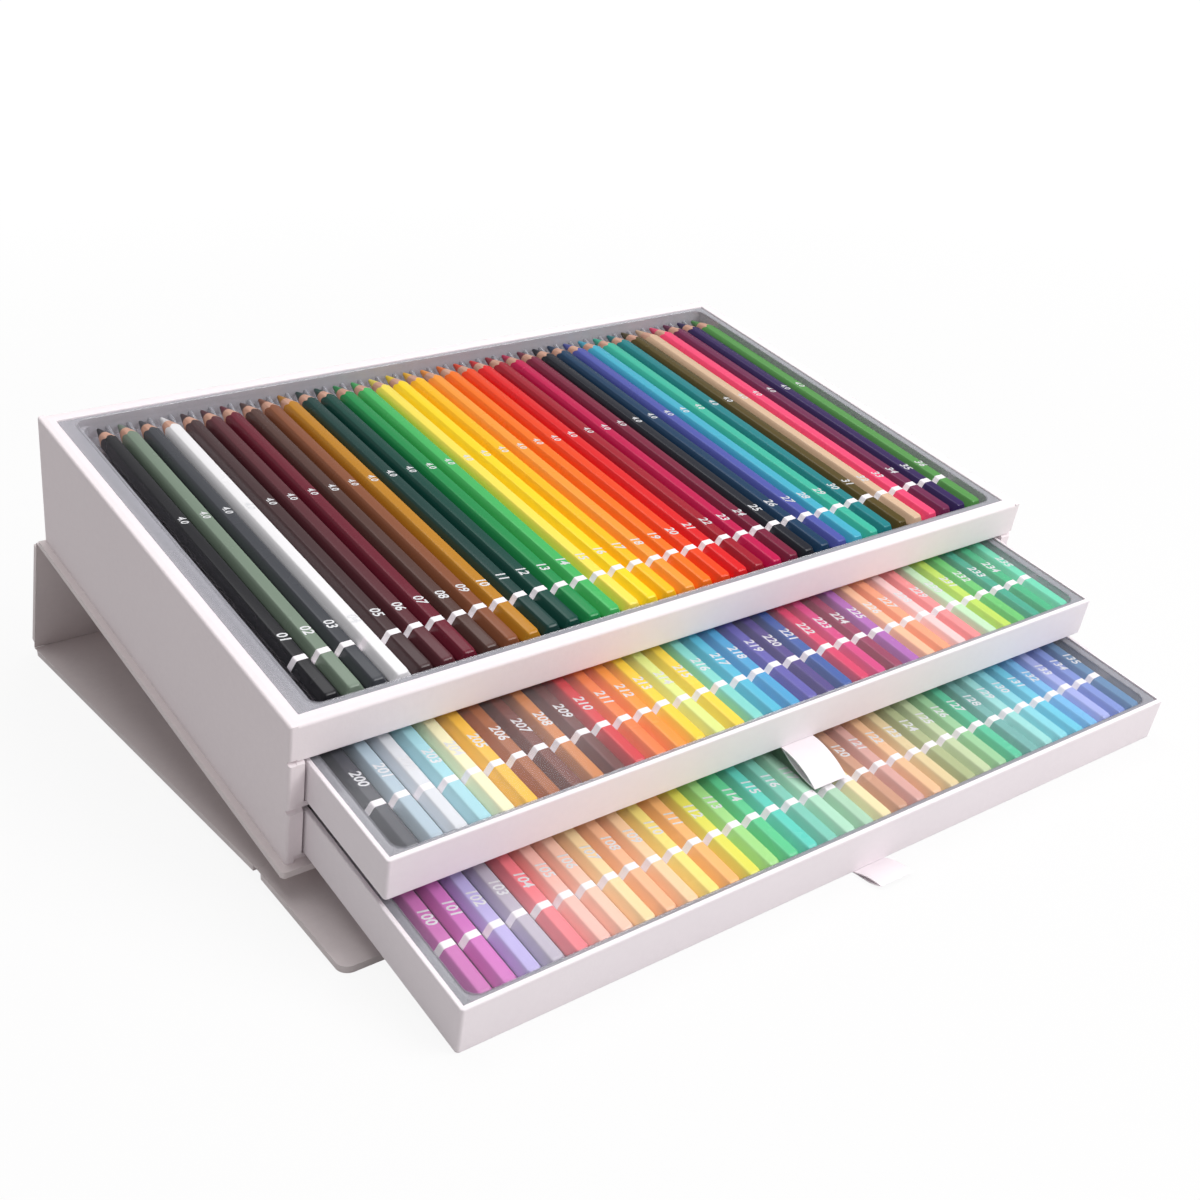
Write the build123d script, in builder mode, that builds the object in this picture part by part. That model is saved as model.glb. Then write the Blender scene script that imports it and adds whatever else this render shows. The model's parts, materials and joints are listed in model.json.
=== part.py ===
"""Pencil drawer box: a rigid board case with a fixed top tray and two sliding drawers, in a cover
that folds back under the case and holds it up as a stand. All sizes are in millimetres.

Level frame: X runs along the width with 0 in the middle, Y runs back from the case's front face,
and Z runs up from the underside of the cover. Every piece of the case is modelled level, and the
stand then tips it, so that the row frame has Z up and the table at Z = 0."""

import os
from math import asin, atan2, cos, degrees, hypot, radians, sin, tan

from build123d import *

os.makedirs("parts", exist_ok=True)

# ---------------------------------------------------------------- driving dimensions
# Case
case_width = 310.0
case_depth = 197.0
outer_wall_t = 2.6
case_floor_t = 1.6
shelf_t = 1.8
shelf_setback = 1.0
liner_t = 2.5
edge_r = 1.0
notch_height = 2.2
notch_depth = 1.5

# Top tray, fixed between the side walls
top_tray_h = 13.45
top_floor_t = 2.0
tray_wall_t = 2.5

# Drawers
side_clearance = 0.9
runner_gap = 0.3
headroom = 1.4
rear_clearance = 0.6
front_setback = 0.3
drawer_floor_t = 1.5
drawer_wall_t = 1.5
drawer_corner_r = 1.2
drawer_rim_r = 0.5
drawer_sole_r = 0.8
middle_drawer_h = 14.9
bottom_drawer_h = 17.0
middle_opening = 45.8
bottom_opening = 86.6
full_opening = 165.0

# Cover: base, spine, lid and flap boards in one wrap
board_t = 2.1
wrap_t = 0.3
cover_overhang = 2.5
cover_gap = 0.4
fold_margin = 0.4
fold_relief = 0.05
cover_corner_r = 1.5
flap_corner_r = 4.0
spine_lean = 11.4
lid_rise = 1.4

# Magnets that keep the flap shut
magnet_d = 10.0
magnet_t = 1.5
magnet_spacing = 150.0
magnet_fit = 0.1

# Pencils: as many as fit side by side, and as long as the top tray lets them be
pencil_corners = 7.7
pencil_spacing = 0.25
point_length = 15.0
tip_d = 1.4
blunt_bevel = 1.1
top_blunt_gap = 6.4
top_point_gap = 2.9
drawer_blunt_gap = 5.0

# Clear inserts and cover sheets
insert_t = 0.45
insert_fit = 0.3
insert_flange_w = 1.5
insert_flange_drop = 1.2
insert_corner_r = 5.0
insert_lift = 0.1
top_bed_rise = 2.8
middle_bed_rise = 4.75
bottom_bed_rise = 6.85
groove_clearance = 0.05
ridge_height = 1.9
ridge_half_width = 1.8
sheet_t = 0.3
sheet_gap = 0.15
sheet_fit = 0.6

# Paper pulls, folded double under the drawers' fronts
pull_width = 14.0
pull_offset = 4.8
pull_t = 0.35
pull_tail = 14.0
pull_bond = 4.0
pull_lap = 1.5
pull_recess = 0.5
middle_pull_reach = 18.0
middle_pull_drop = 3.9
bottom_pull_reach = 12.0
pull_bulge = 1.3
pull_sole = 0.35

# ---------------------------------------------------------------- derived sizes
cover_t = board_t + wrap_t
inner_width = case_width - 2 * outer_wall_t
back_face = case_depth - outer_wall_t
bay_width = inner_width - 2 * liner_t
bay_back = back_face - liner_t
drawer_width = bay_width - 2 * side_clearance
drawer_depth = bay_back - rear_clearance - front_setback

floor_z = cover_t
bottom_drawer_z = floor_z + case_floor_t + runner_gap
shelf_z = bottom_drawer_z + bottom_drawer_h + headroom
middle_drawer_z = shelf_z + shelf_t + runner_gap
top_tray_z = middle_drawer_z + middle_drawer_h + headroom
rim_z = top_tray_z + top_tray_h

# The closed cover's outer faces, which are also the lines of its folds
closed_back = case_depth + cover_gap + cover_t
closed_front = -cover_gap - cover_t
closed_top = rim_z + cover_gap + cover_t
fold_gap = cover_t + fold_margin
spine_length = closed_top
lid_length = closed_back - closed_front
flap_length = closed_top - cover_t - cover_gap

pencil_flats = pencil_corners * cos(radians(30))
pencil_pitch = pencil_corners + pencil_spacing
bed_margin = drawer_wall_t + insert_fit + insert_flange_w + ridge_half_width
pencil_count = int((drawer_width - 2 * bed_margin) // pencil_pitch)
pencil_span = (pencil_count - 1) * pencil_pitch
top_inner_length = case_depth - 2 * (outer_wall_t + tray_wall_t)
pencil_length = top_inner_length - top_blunt_gap - top_point_gap


# ---------------------------------------------------------------- how the stand holds the case
def stand_tilt():
    """Tip of the case when the bottom drawer's front edge and the foot of the spine both touch."""
    foot_y = closed_back + spine_length * sin(radians(spine_lean))
    foot_z = -spine_length * cos(radians(spine_lean))
    run = foot_y - (drawer_sole_r - bottom_opening)
    rise = foot_z - (bottom_drawer_z + drawer_sole_r)
    foot_height = cover_t * cos(radians(lid_rise)) - fold_gap * sin(radians(lid_rise))
    return degrees(asin((foot_height - drawer_sole_r) / hypot(run, rise)) - atan2(rise, run))


tilt = stand_tilt()


def tipped(y, z):
    """Turn a point of the level frame by the tilt, about the X axis."""
    turn = radians(tilt)
    return y * cos(turn) - z * sin(turn), y * sin(turn) + z * cos(turn)


def heading(angle):
    """Unit vector in the YZ plane, turned from +Y towards +Z."""
    return cos(radians(angle)), sin(radians(angle))


spine_heading = tilt + spine_lean - 90.0
lid_heading = 180.0 - lid_rise

sole_centre = tipped(drawer_sole_r - bottom_opening, bottom_drawer_z + drawer_sole_r)
table_drop = drawer_sole_r - sole_centre[1]
hinge = tipped(closed_back, 0.0)
foot = [hinge[i] + spine_length * heading(spine_heading)[i] for i in range(2)]
ridge = [foot[i] + lid_length * heading(lid_heading)[i] for i in range(2)]

# The flap falls from the ridge until its front edge touches the table
ridge_height_over_table = ridge[1] + table_drop
flap_fall = degrees(
    asin(ridge_height_over_table / hypot(flap_length, cover_t)) - atan2(cover_t, flap_length)
)
flap_heading = 180.0 + flap_fall

# The pull under the bottom drawer lies on the table and is the foremost point of the object
bottom_pull_rise = bottom_pull_reach * tan(radians(tilt)) + pull_sole
bottom_pull_tip = tipped(-bottom_opening - bottom_pull_reach, bottom_drawer_z + bottom_pull_rise)
rear_reach = (
    foot[0]
    - fold_gap * heading(spine_heading)[0]
    - cover_t * heading(spine_heading)[1]
)
centre_shift = -(bottom_pull_tip[0] + rear_reach) / 2

stand = Location((0, centre_shift, table_drop), (tilt, 0, 0))


def panel_place(point, angle):
    """Where a cover panel lies: its fold at the point, its length along the heading."""
    run_y, run_z = heading(angle)
    origin = (0, point[0] + centre_shift, point[1] + table_drop)
    return Plane(origin=origin, x_dir=(-1, 0, 0), z_dir=(0, run_z, -run_y)).location


def keep(piece, name, place=stand):
    """Label a finished piece, put it in its place and write it."""
    piece.part.label = name
    piece.part.location = place
    export_step(piece.part, f"parts/{name}.step")


def lengthwise(y):
    """Sketch plane across the case at y: its x is X and its y is Z, and it extrudes towards +Y."""
    return Plane(origin=(0, y, 0), x_dir=(1, 0, 0), z_dir=(0, -1, 0))


# ---------------------------------------------------------------- case: walls and shelves
unit_lines = [top_tray_z, shelf_z]

for side, sign in (("left", -1), ("right", 1)):
    with BuildPart() as side_wall:
        with Locations((sign * (case_width - outer_wall_t) / 2, 0, floor_z)):
            Box(
                outer_wall_t,
                case_depth,
                rim_z - floor_z,
                align=(Align.CENTER, Align.MIN, Align.MIN),
            )
        outer_face = side_wall.faces().sort_by(Axis.X)[0 if sign < 0 else -1]
        outer_edges = outer_face.edges().filter_by(Axis.Z) + outer_face.edges().sort_by(Axis.Z)[-1:]
        fillet(outer_edges, radius=edge_r)
        # a small nick in the front edge where the stacked units meet
        with BuildSketch(Plane.YZ.offset(sign * case_width / 2)):
            for z in unit_lines:
                with BuildLine():
                    Polyline(
                        (0, z - notch_height / 2),
                        (notch_depth, z),
                        (0, z + notch_height / 2),
                        close=True,
                    )
                make_face()
        extrude(amount=-sign * outer_wall_t, mode=Mode.SUBTRACT)
    keep(side_wall, f"case_{side}_wall")

with BuildPart() as back_wall:
    with Locations((0, back_face, floor_z)):
        Box(inner_width, outer_wall_t, rim_z - floor_z, align=(Align.CENTER, Align.MIN, Align.MIN))
    fillet(back_wall.edges().filter_by(Axis.X).sort_by(Axis.Y)[-2:].sort_by(Axis.Z)[-1], radius=edge_r)
keep(back_wall, "case_back_wall")

with BuildPart() as front_strip:
    with Locations((0, 0, top_tray_z)):
        Box(inner_width, outer_wall_t, top_tray_h, align=(Align.CENTER, Align.MIN, Align.MIN))
    fillet(front_strip.edges().filter_by(Axis.X).group_by(Axis.Y)[0], radius=edge_r)
    # pockets from behind for the magnets, which the top tray closes
    with Locations(Plane.XZ.offset(-outer_wall_t)):
        with GridLocations(magnet_spacing, 0, 2, 1):
            with Locations((0, top_tray_z + top_tray_h / 2)):
                Cylinder(
                    magnet_d / 2 + magnet_fit,
                    magnet_t + magnet_fit,
                    align=(Align.CENTER, Align.CENTER, Align.MIN),
                    mode=Mode.SUBTRACT,
                )
keep(front_strip, "case_front_strip")

with BuildPart() as strip_magnets:
    with Locations(Plane.XZ.offset(-outer_wall_t)):
        with GridLocations(magnet_spacing, 0, 2, 1):
            with Locations((0, top_tray_z + top_tray_h / 2)):
                Cylinder(magnet_d / 2, magnet_t, align=(Align.CENTER, Align.CENTER, Align.MIN))
keep(strip_magnets, "strip_magnets")

with BuildPart() as top_tray:
    with BuildSketch(Plane.XY.offset(top_tray_z)):
        with Locations((0, (outer_wall_t + back_face) / 2)):
            Rectangle(inner_width, back_face - outer_wall_t)
    extrude(amount=top_tray_h)
    with BuildSketch(Plane.XY.offset(rim_z)):
        with Locations((0, (outer_wall_t + back_face) / 2)):
            Rectangle(inner_width - 2 * tray_wall_t, back_face - outer_wall_t - 2 * tray_wall_t)
    extrude(amount=top_floor_t - top_tray_h, mode=Mode.SUBTRACT)
    fillet(top_tray.faces().sort_by(Axis.Z)[-1].inner_wires()[0].edges(), radius=drawer_rim_r)
keep(top_tray, "top_tray")

with BuildPart() as middle_shelf:
    with Locations((0, shelf_setback, shelf_z)):
        Box(
            inner_width,
            back_face - shelf_setback,
            shelf_t,
            align=(Align.CENTER, Align.MIN, Align.MIN),
        )
keep(middle_shelf, "middle_shelf")

with BuildPart() as case_floor:
    with Locations((0, shelf_setback, floor_z)):
        Box(
            inner_width,
            back_face - shelf_setback,
            case_floor_t,
            align=(Align.CENTER, Align.MIN, Align.MIN),
        )
keep(case_floor, "case_floor")

bays = {
    "bottom_bay": (floor_z + case_floor_t, shelf_z),
    "middle_bay": (shelf_z + shelf_t, top_tray_z),
}
for bay, (low, high) in bays.items():
    for side, sign in (("left", -1), ("right", 1)):
        with BuildPart() as side_liner:
            with Locations((sign * (inner_width - liner_t) / 2, 0, low)):
                Box(liner_t, back_face, high - low, align=(Align.CENTER, Align.MIN, Align.MIN))
            chamfer(side_liner.faces().sort_by(Axis.Y)[0].edges().filter_by(Axis.X), edge_r)
        keep(side_liner, f"{bay}_{side}_liner")
    with BuildPart() as back_liner:
        with Locations((0, bay_back, low)):
            Box(bay_width, liner_t, high - low, align=(Align.CENTER, Align.MIN, Align.MIN))
    keep(back_liner, f"{bay}_back_liner")


# ---------------------------------------------------------------- drawers
# Front face, underside and height of each drawer
drawers = {
    "middle": (-middle_opening, middle_drawer_z, middle_drawer_h),
    "bottom": (-bottom_opening, bottom_drawer_z, bottom_drawer_h),
}
for name, (front, sole, height) in drawers.items():
    with BuildPart() as tray:
        with BuildSketch(Plane.XY.offset(sole)):
            with Locations((0, front + drawer_depth / 2)):
                Rectangle(drawer_width, drawer_depth)
        extrude(amount=height)
        fillet(tray.edges().filter_by(Axis.Z), radius=drawer_corner_r)
        with BuildSketch(Plane.XY.offset(sole + height)):
            with Locations((0, front + drawer_depth / 2)):
                Rectangle(drawer_width - 2 * drawer_wall_t, drawer_depth - 2 * drawer_wall_t)
        extrude(amount=drawer_floor_t - height, mode=Mode.SUBTRACT)
        fillet(tray.faces().sort_by(Axis.Z)[-1].outer_wire().edges(), radius=drawer_rim_r)
        fillet(tray.faces().sort_by(Axis.Z)[0].edges(), radius=drawer_sole_r)
        # shallow seat for the pull's glued tail
        with Locations((pull_offset, front, sole)):
            Box(
                pull_width + pull_recess,
                pull_tail + pull_recess,
                pull_recess,
                align=(Align.CENTER, Align.MIN, Align.MIN),
                mode=Mode.SUBTRACT,
            )
    keep(tray, f"{name}_drawer_tray")


# ---------------------------------------------------------------- paper pulls
def leaf_arcs(front, sole, reach, climb, upper, lower, inset):
    """Two arcs, over and under, that bound a folded pull seen from its side."""
    run_in = pull_bond if inset else 0
    slope = (climb - pull_recess / 2) / reach
    root = (front - run_in, sole + pull_recess / 2 + slope * run_in)
    tip = (front - reach + run_in, sole + climb - slope * run_in)
    middle = ((root[0] + tip[0]) / 2, (root[1] + tip[1]) / 2)
    over = (root, (middle[0], middle[1] + upper - inset), tip)
    under = (tip, (middle[0], middle[1] - lower + inset), root)
    return over, under


pulls = {
    "middle": (middle_pull_reach, -middle_pull_drop, pull_bulge, pull_bulge),
    "bottom": (bottom_pull_reach, bottom_pull_rise, pull_bulge, pull_bulge * pull_sole),
}
for name, (reach, climb, upper, lower) in pulls.items():
    front, sole, _ = drawers[name]
    outer_over, outer_under = leaf_arcs(front, sole, reach, climb, upper, lower, 0)
    with BuildPart() as pull:
        with BuildSketch(Plane.YZ.offset(pull_offset - pull_width / 2)):
            with BuildLine():
                ThreePointArc(*outer_over)
                ThreePointArc(*outer_under)
            make_face()
            if lower > pull_t:
                inner_over, inner_under = leaf_arcs(front, sole, reach, climb, upper, lower, pull_t)
                with BuildLine():
                    ThreePointArc(*inner_over)
                    ThreePointArc(*inner_under)
                make_face(mode=Mode.SUBTRACT)
            with Locations((front - pull_lap, sole + (pull_recess - pull_t) / 2)):
                Rectangle(pull_tail + pull_lap, pull_t, align=(Align.MIN, Align.MIN))
        extrude(amount=pull_width)
    keep(pull, f"{name}_pull")


# ---------------------------------------------------------------- clear inserts
def insert_levels(tray):
    """Heights of the pencils' axis, the grooves' floor and the flange. The bed stands on the tray's
    floor, and the pencils lie in its grooves."""
    groove = tray["floor"] + tray["bed_rise"] + insert_t
    axis = groove + groove_clearance + pencil_flats / 2
    return axis, groove, tray["rim"] - insert_flange_drop


trays = {
    "top": {
        "width": inner_width - 2 * tray_wall_t,
        "front": outer_wall_t + tray_wall_t,
        "back": back_face - tray_wall_t,
        "floor": top_tray_z + top_floor_t,
        "rim": rim_z,
        "blunt_gap": top_blunt_gap,
        "bed_rise": top_bed_rise,
    }
}
bed_rises = {"middle": middle_bed_rise, "bottom": bottom_bed_rise}
for name, (front, sole, height) in drawers.items():
    trays[name] = {
        "width": drawer_width - 2 * drawer_wall_t,
        "front": front + drawer_wall_t,
        "back": front + drawer_depth - drawer_wall_t,
        "floor": sole + drawer_floor_t,
        "rim": sole + height,
        "blunt_gap": drawer_blunt_gap,
        "bed_rise": bed_rises[name],
    }

for name, tray in trays.items():
    axis_z, groove_z, flange_z = insert_levels(tray)
    length = tray["back"] - tray["front"] - 2 * insert_fit
    width = tray["width"] - 2 * insert_fit
    middle = (tray["front"] + tray["back"]) / 2
    pocket_width = width - 2 * insert_flange_w
    pocket_length = length - 2 * insert_flange_w
    foot_z = tray["floor"] + insert_lift
    with BuildPart() as insert:
        # flange round the rim
        with BuildSketch(Plane.XY.offset(flange_z - insert_t)):
            with Locations((0, middle)):
                Rectangle(width, length)
                RectangleRounded(pocket_width, pocket_length, insert_corner_r, mode=Mode.SUBTRACT)
        extrude(amount=insert_t)
        # upright skirt with rounded corners
        with BuildSketch(Plane.XY.offset(foot_z)):
            with Locations((0, middle)):
                RectangleRounded(
                    pocket_width + 2 * insert_t,
                    pocket_length + 2 * insert_t,
                    insert_corner_r + insert_t,
                )
                RectangleRounded(pocket_width, pocket_length, insert_corner_r, mode=Mode.SUBTRACT)
        extrude(amount=flange_z - foot_z)
        # grooved bed: one ridge on each side of every pencil
        edge_x = pocket_width / 2 + insert_t / 2
        top_line = [(-edge_x, groove_z)]
        for i in range(pencil_count + 1):
            x = (i - pencil_count / 2) * pencil_pitch
            top_line += [
                (x - ridge_half_width, groove_z),
                (x, groove_z + ridge_height),
                (x + ridge_half_width, groove_z),
            ]
        top_line += [(edge_x, groove_z)]
        low_line = [(x, z - insert_t) for x, z in reversed(top_line)]
        bed_front = middle - pocket_length / 2 - insert_t / 2
        with BuildSketch(lengthwise(bed_front)):
            with BuildLine():
                Polyline(*top_line, *low_line, close=True)
            make_face()
        extrude(amount=-(pocket_length + insert_t))
    keep(insert, f"{name}_insert")

for name in ("middle", "bottom"):
    tray = trays[name]
    axis_z, groove_z, flange_z = insert_levels(tray)
    with BuildPart() as sheet:
        with BuildSketch(Plane.XY.offset(axis_z + pencil_flats / 2 + sheet_gap)):
            with Locations((0, (tray["front"] + tray["back"]) / 2)):
                RectangleRounded(
                    tray["width"] - 2 * (insert_fit + insert_flange_w + sheet_fit),
                    tray["back"] - tray["front"] - 2 * (insert_fit + insert_flange_w + sheet_fit),
                    insert_corner_r,
                )
        extrude(amount=sheet_t)
    keep(sheet, f"{name}_cover_sheet")

# ---------------------------------------------------------------- pencils
# One pencil: a hexagonal prism turned down to a cone at its point and bevelled at its blunt end
with BuildPart() as pencil:
    with BuildSketch(lengthwise(0)):
        RegularPolygon(pencil_corners / 2, 6)
    extrude(amount=-pencil_length)
    corner_r = pencil_corners / 2
    with BuildSketch(Plane.XY):
        with BuildLine():
            Polyline(
                (0, 0),
                (corner_r - blunt_bevel, 0),
                (corner_r, blunt_bevel),
                (corner_r, pencil_length - point_length),
                (tip_d / 2, pencil_length),
                (0, pencil_length),
                close=True,
            )
        make_face()
    revolve(axis=Axis.Y, mode=Mode.INTERSECT)

# Each tray's pencils, in runs of neighbouring colours from left to right. A run's number is its
# share of the row, so that the runs fill the row however many pencils fit.
colour_runs = {
    "top": {"greys": 4, "browns": 6, "greens": 4, "yellows": 6, "reds": 5, "blues": 11},
    "middle": {"greys": 4, "browns": 6, "oranges": 6, "blues": 6, "pinks": 8, "greens": 6},
    "bottom": {"violets": 4, "peaches": 8, "limes": 4, "earths": 10, "greens": 4, "blues": 6},
}
for name, tray in trays.items():
    axis_z, groove_z, flange_z = insert_levels(tray)
    runs = colour_runs[name]
    shares = 0
    first = 0
    for family, share in runs.items():
        shares += share
        end = round(pencil_count * shares / sum(runs.values()))
        spots = [
            (-pencil_span / 2 + i * pencil_pitch, tray["front"] + tray["blunt_gap"], axis_z)
            for i in range(first, end)
        ]
        with BuildPart() as run:
            with Locations(*spots):
                add(pencil.part)
        keep(run, f"{name}_{family}_pencils")
        first = end


# ---------------------------------------------------------------- cover
def fold_panel(name, length, place, end_fold, corners=None, pocket_reach=None):
    """A cover board with its outer wrap. Local Y runs from the fold line along the panel, and the
    outer face lies at Z = 0. A wrap's edge at a fold is mitred, so that it can close to square. A
    panel without a fold at its end has rounded corners there."""
    width = case_width + 2 * cover_overhang
    end_gap = fold_gap if end_fold else 0.0
    board_length = length - fold_gap - end_gap
    with BuildPart() as board:
        with BuildSketch(Plane.XY.offset(-cover_t)):
            with Locations((0, fold_gap + board_length / 2)):
                Rectangle(width, board_length)
        extrude(amount=board_t)
        if corners:
            fillet(board.edges().filter_by(Axis.Z).group_by(Axis.Y)[-1], radius=corners)
        if pocket_reach:
            with Locations((0, pocket_reach, -wrap_t)):
                with GridLocations(magnet_spacing, 0, 2, 1):
                    Cylinder(
                        magnet_d / 2 + magnet_fit,
                        magnet_t + magnet_fit,
                        align=(Align.CENTER, Align.CENTER, Align.MAX),
                        mode=Mode.SUBTRACT,
                    )
    keep(board, f"cover_{name}_board", place)

    low = fold_relief
    high = length - (fold_relief if end_fold else 0.0)
    low_inner = low + wrap_t
    high_inner = high - (wrap_t if end_fold else 0.0)
    with BuildPart() as wrap:
        with BuildSketch(Plane.YZ.offset(-width / 2)):
            with BuildLine():
                Polyline((low, 0), (high, 0), (high_inner, -wrap_t), (low_inner, -wrap_t), close=True)
            make_face()
        extrude(amount=width)
        if corners:
            fillet(wrap.edges().filter_by(Axis.Z).group_by(Axis.Y)[-1], radius=corners)
    keep(wrap, f"cover_{name}_wrap", place)


base_length = closed_back - closed_front
base_place = stand * Plane(
    origin=(0, closed_back, 0), x_dir=(1, 0, 0), z_dir=(0, 0, -1)
).location
strip_middle = top_tray_z + top_tray_h / 2
magnet_reach = closed_top - strip_middle

fold_panel("base", base_length, base_place, False, cover_corner_r)
fold_panel("spine", spine_length, panel_place(hinge, spine_heading), True)
fold_panel("lid", lid_length, panel_place(foot, lid_heading), True)
flap_place = panel_place(ridge, flap_heading)
fold_panel("flap", flap_length, flap_place, False, flap_corner_r, magnet_reach)

with BuildPart() as flap_magnets:
    with Locations((0, magnet_reach, -wrap_t)):
        with GridLocations(magnet_spacing, 0, 2, 1):
            Cylinder(magnet_d / 2, magnet_t, align=(Align.CENTER, Align.CENTER, Align.MAX))
keep(flap_magnets, "flap_magnets", flap_place)

# ---------------------------------------------------------------- what the record needs
swings = {
    "tilt": tilt,
    "spine swing to closed": 180.0 - spine_lean,
    "lid swing to closed": 360.0 - (lid_heading - spine_heading) + 90.0,
    "flap fold at rest": flap_heading - lid_heading,
}
for label, value in swings.items():
    print(f"{label}: {value:.4f} deg")
shifted = {"base hinge": hinge, "lid hinge": foot, "flap hinge": ridge}
for label, (y, z) in shifted.items():
    print(f"{label}: y {y + centre_shift:.4f} z {z + table_drop:.4f}")
shut = [opening + front_setback for opening in (middle_opening, bottom_opening)]
out = [full_opening - opening for opening in (middle_opening, bottom_opening)]
print(f"shut travel: middle {shut[0]:.2f}, bottom {shut[1]:.2f}")
print(f"open travel: middle {out[0]:.2f}, bottom {out[1]:.2f}")
print(f"levels: floor {floor_z:.2f} shelf {shelf_z:.2f} top tray {top_tray_z:.2f} rim {rim_z:.2f}")
for name, tray in trays.items():
    pencil_depth = tray["rim"] - insert_levels(tray)[0] - pencil_flats / 2
    print(f"{name} tray: {pencil_count} pencils, {pencil_depth:.2f} under the rim")
print(f"pencil length {pencil_length:.2f}")
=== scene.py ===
# %% [markdown]
# # A pencil drawer box, dressed around its frame
# The box is a rigid case of paper-covered board. A fixed tray of coloured pencils lies on top, two
# drawers of pencils slide out below it, and the folded-back cover props the whole case up like an
# easel. The frame brings every board at its real size and place. This script adds what a camera
# sees up close: the paper, the lacquer, the turned wooden points, the clear film and the print.

# %% Load the frame
import json
import random
from math import atan2, cos, pi, radians, sin

import bmesh
import bpy
from mathutils import Matrix, Vector


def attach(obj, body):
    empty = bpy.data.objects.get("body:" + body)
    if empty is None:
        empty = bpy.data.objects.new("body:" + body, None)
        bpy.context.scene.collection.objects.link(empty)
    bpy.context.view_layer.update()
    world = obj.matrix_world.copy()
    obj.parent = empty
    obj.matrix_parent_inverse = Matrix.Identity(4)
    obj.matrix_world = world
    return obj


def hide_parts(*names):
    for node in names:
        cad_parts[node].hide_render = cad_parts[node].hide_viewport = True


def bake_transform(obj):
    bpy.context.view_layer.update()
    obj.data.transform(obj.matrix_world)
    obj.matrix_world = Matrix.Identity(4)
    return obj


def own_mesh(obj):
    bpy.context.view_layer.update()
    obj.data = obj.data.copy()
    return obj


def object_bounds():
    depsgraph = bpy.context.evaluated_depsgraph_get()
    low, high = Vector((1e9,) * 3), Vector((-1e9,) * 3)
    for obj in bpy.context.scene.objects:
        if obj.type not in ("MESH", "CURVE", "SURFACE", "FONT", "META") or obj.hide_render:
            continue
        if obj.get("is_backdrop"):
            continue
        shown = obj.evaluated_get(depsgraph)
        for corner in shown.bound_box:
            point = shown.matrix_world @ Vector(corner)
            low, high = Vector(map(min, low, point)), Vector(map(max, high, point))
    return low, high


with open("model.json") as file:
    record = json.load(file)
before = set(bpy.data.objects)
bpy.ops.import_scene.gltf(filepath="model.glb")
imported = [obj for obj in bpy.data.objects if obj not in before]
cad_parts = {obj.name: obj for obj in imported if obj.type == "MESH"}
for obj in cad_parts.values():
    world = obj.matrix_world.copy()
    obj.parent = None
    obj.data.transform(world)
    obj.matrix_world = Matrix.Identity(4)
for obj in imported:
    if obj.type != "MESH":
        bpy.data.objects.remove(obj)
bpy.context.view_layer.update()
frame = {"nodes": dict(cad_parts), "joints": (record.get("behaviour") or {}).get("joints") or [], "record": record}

MM = 0.001

# %% [markdown]
# ## A level bench inside a tilted box
# The case stands tipped, so straight boards would be awkward to model in place. It is easier to work
# in a level copy of the space, where the pencils run along Y and lie flat, and to tip each finished
# mesh at the end. The drawers slide along the tipped direction, so their joint says how far to tip.

# %% The level bench
slide = next(j for j in frame["joints"] if j["name"] == "bottom_drawer_slide")
slide_way = Vector(slide["axis"])
tip_up = Matrix.Rotation(atan2(slide_way.z, slide_way.y), 4, "X")
lay_level = tip_up.inverted()


def level_box(node):
    """Lowest and highest corner of a CAD node on the level bench."""
    points = [lay_level @ v.co for v in frame["nodes"][node].data.vertices]
    low = Vector([min(p[i] for p in points) for i in range(3)])
    high = Vector([max(p[i] for p in points) for i in range(3)])
    return low, high


def new_piece(bm, name, body, finishes, stands_for=(), smooth=35, tip=tip_up):
    """Turn a level bmesh into a piece in the tipped box, riding on its body."""
    bm.transform(tip)
    mesh = bpy.data.meshes.new(name)
    bm.to_mesh(mesh)
    bm.free()
    for finish in finishes:
        mesh.materials.append(finish)
    mesh.shade_smooth()
    mesh.set_sharp_from_angle(angle=radians(smooth))
    piece = bpy.data.objects.new(name, mesh)
    bpy.context.scene.collection.objects.link(piece)
    if body:
        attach(piece, body)
    if stands_for:
        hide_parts(*stands_for)
    return piece


# %% A ribbon along a path
def ribbon(path, left, right, thickness):
    """A strip from left to right of a path, extruded from point to point and made thick."""
    bm = bmesh.new()
    bmesh.ops.create_vert(bm, co=path[0] + left)
    made = bmesh.ops.extrude_vert_indiv(bm, verts=bm.verts[:])
    bmesh.ops.translate(bm, verts=made["verts"], vec=right - left)
    edge = made["edges"][0]
    for here, there in zip(path, path[1:]):
        made = bmesh.ops.extrude_edge_only(bm, edges=[edge])
        moved = [v for v in made["geom"] if isinstance(v, bmesh.types.BMVert)]
        far_edges = [e for e in made["geom"] if isinstance(e, bmesh.types.BMEdge)]
        edge = next(e for e in far_edges if not set(e.verts) - set(moved))
        bmesh.ops.translate(bm, verts=moved, vec=there - here)
    bmesh.ops.recalc_face_normals(bm, faces=bm.faces)
    bmesh.ops.solidify(bm, geom=bm.faces[:], thickness=thickness)
    return bm


# %% [markdown]
# ## Node groups for the surfaces
# Paper, lacquer, film and wood each need a small irregularity: fibres, orange peel, haze or grain.
# Each is built once as a node group with named sockets, and every material then sets its own amounts.
# A group puts out only colours, masks and heights. The shader itself stays in the material.

# %% Helpers for node groups
SOCKETS = {"value": "NodeSocketFloat", "colour": "NodeSocketColor"}


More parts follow.
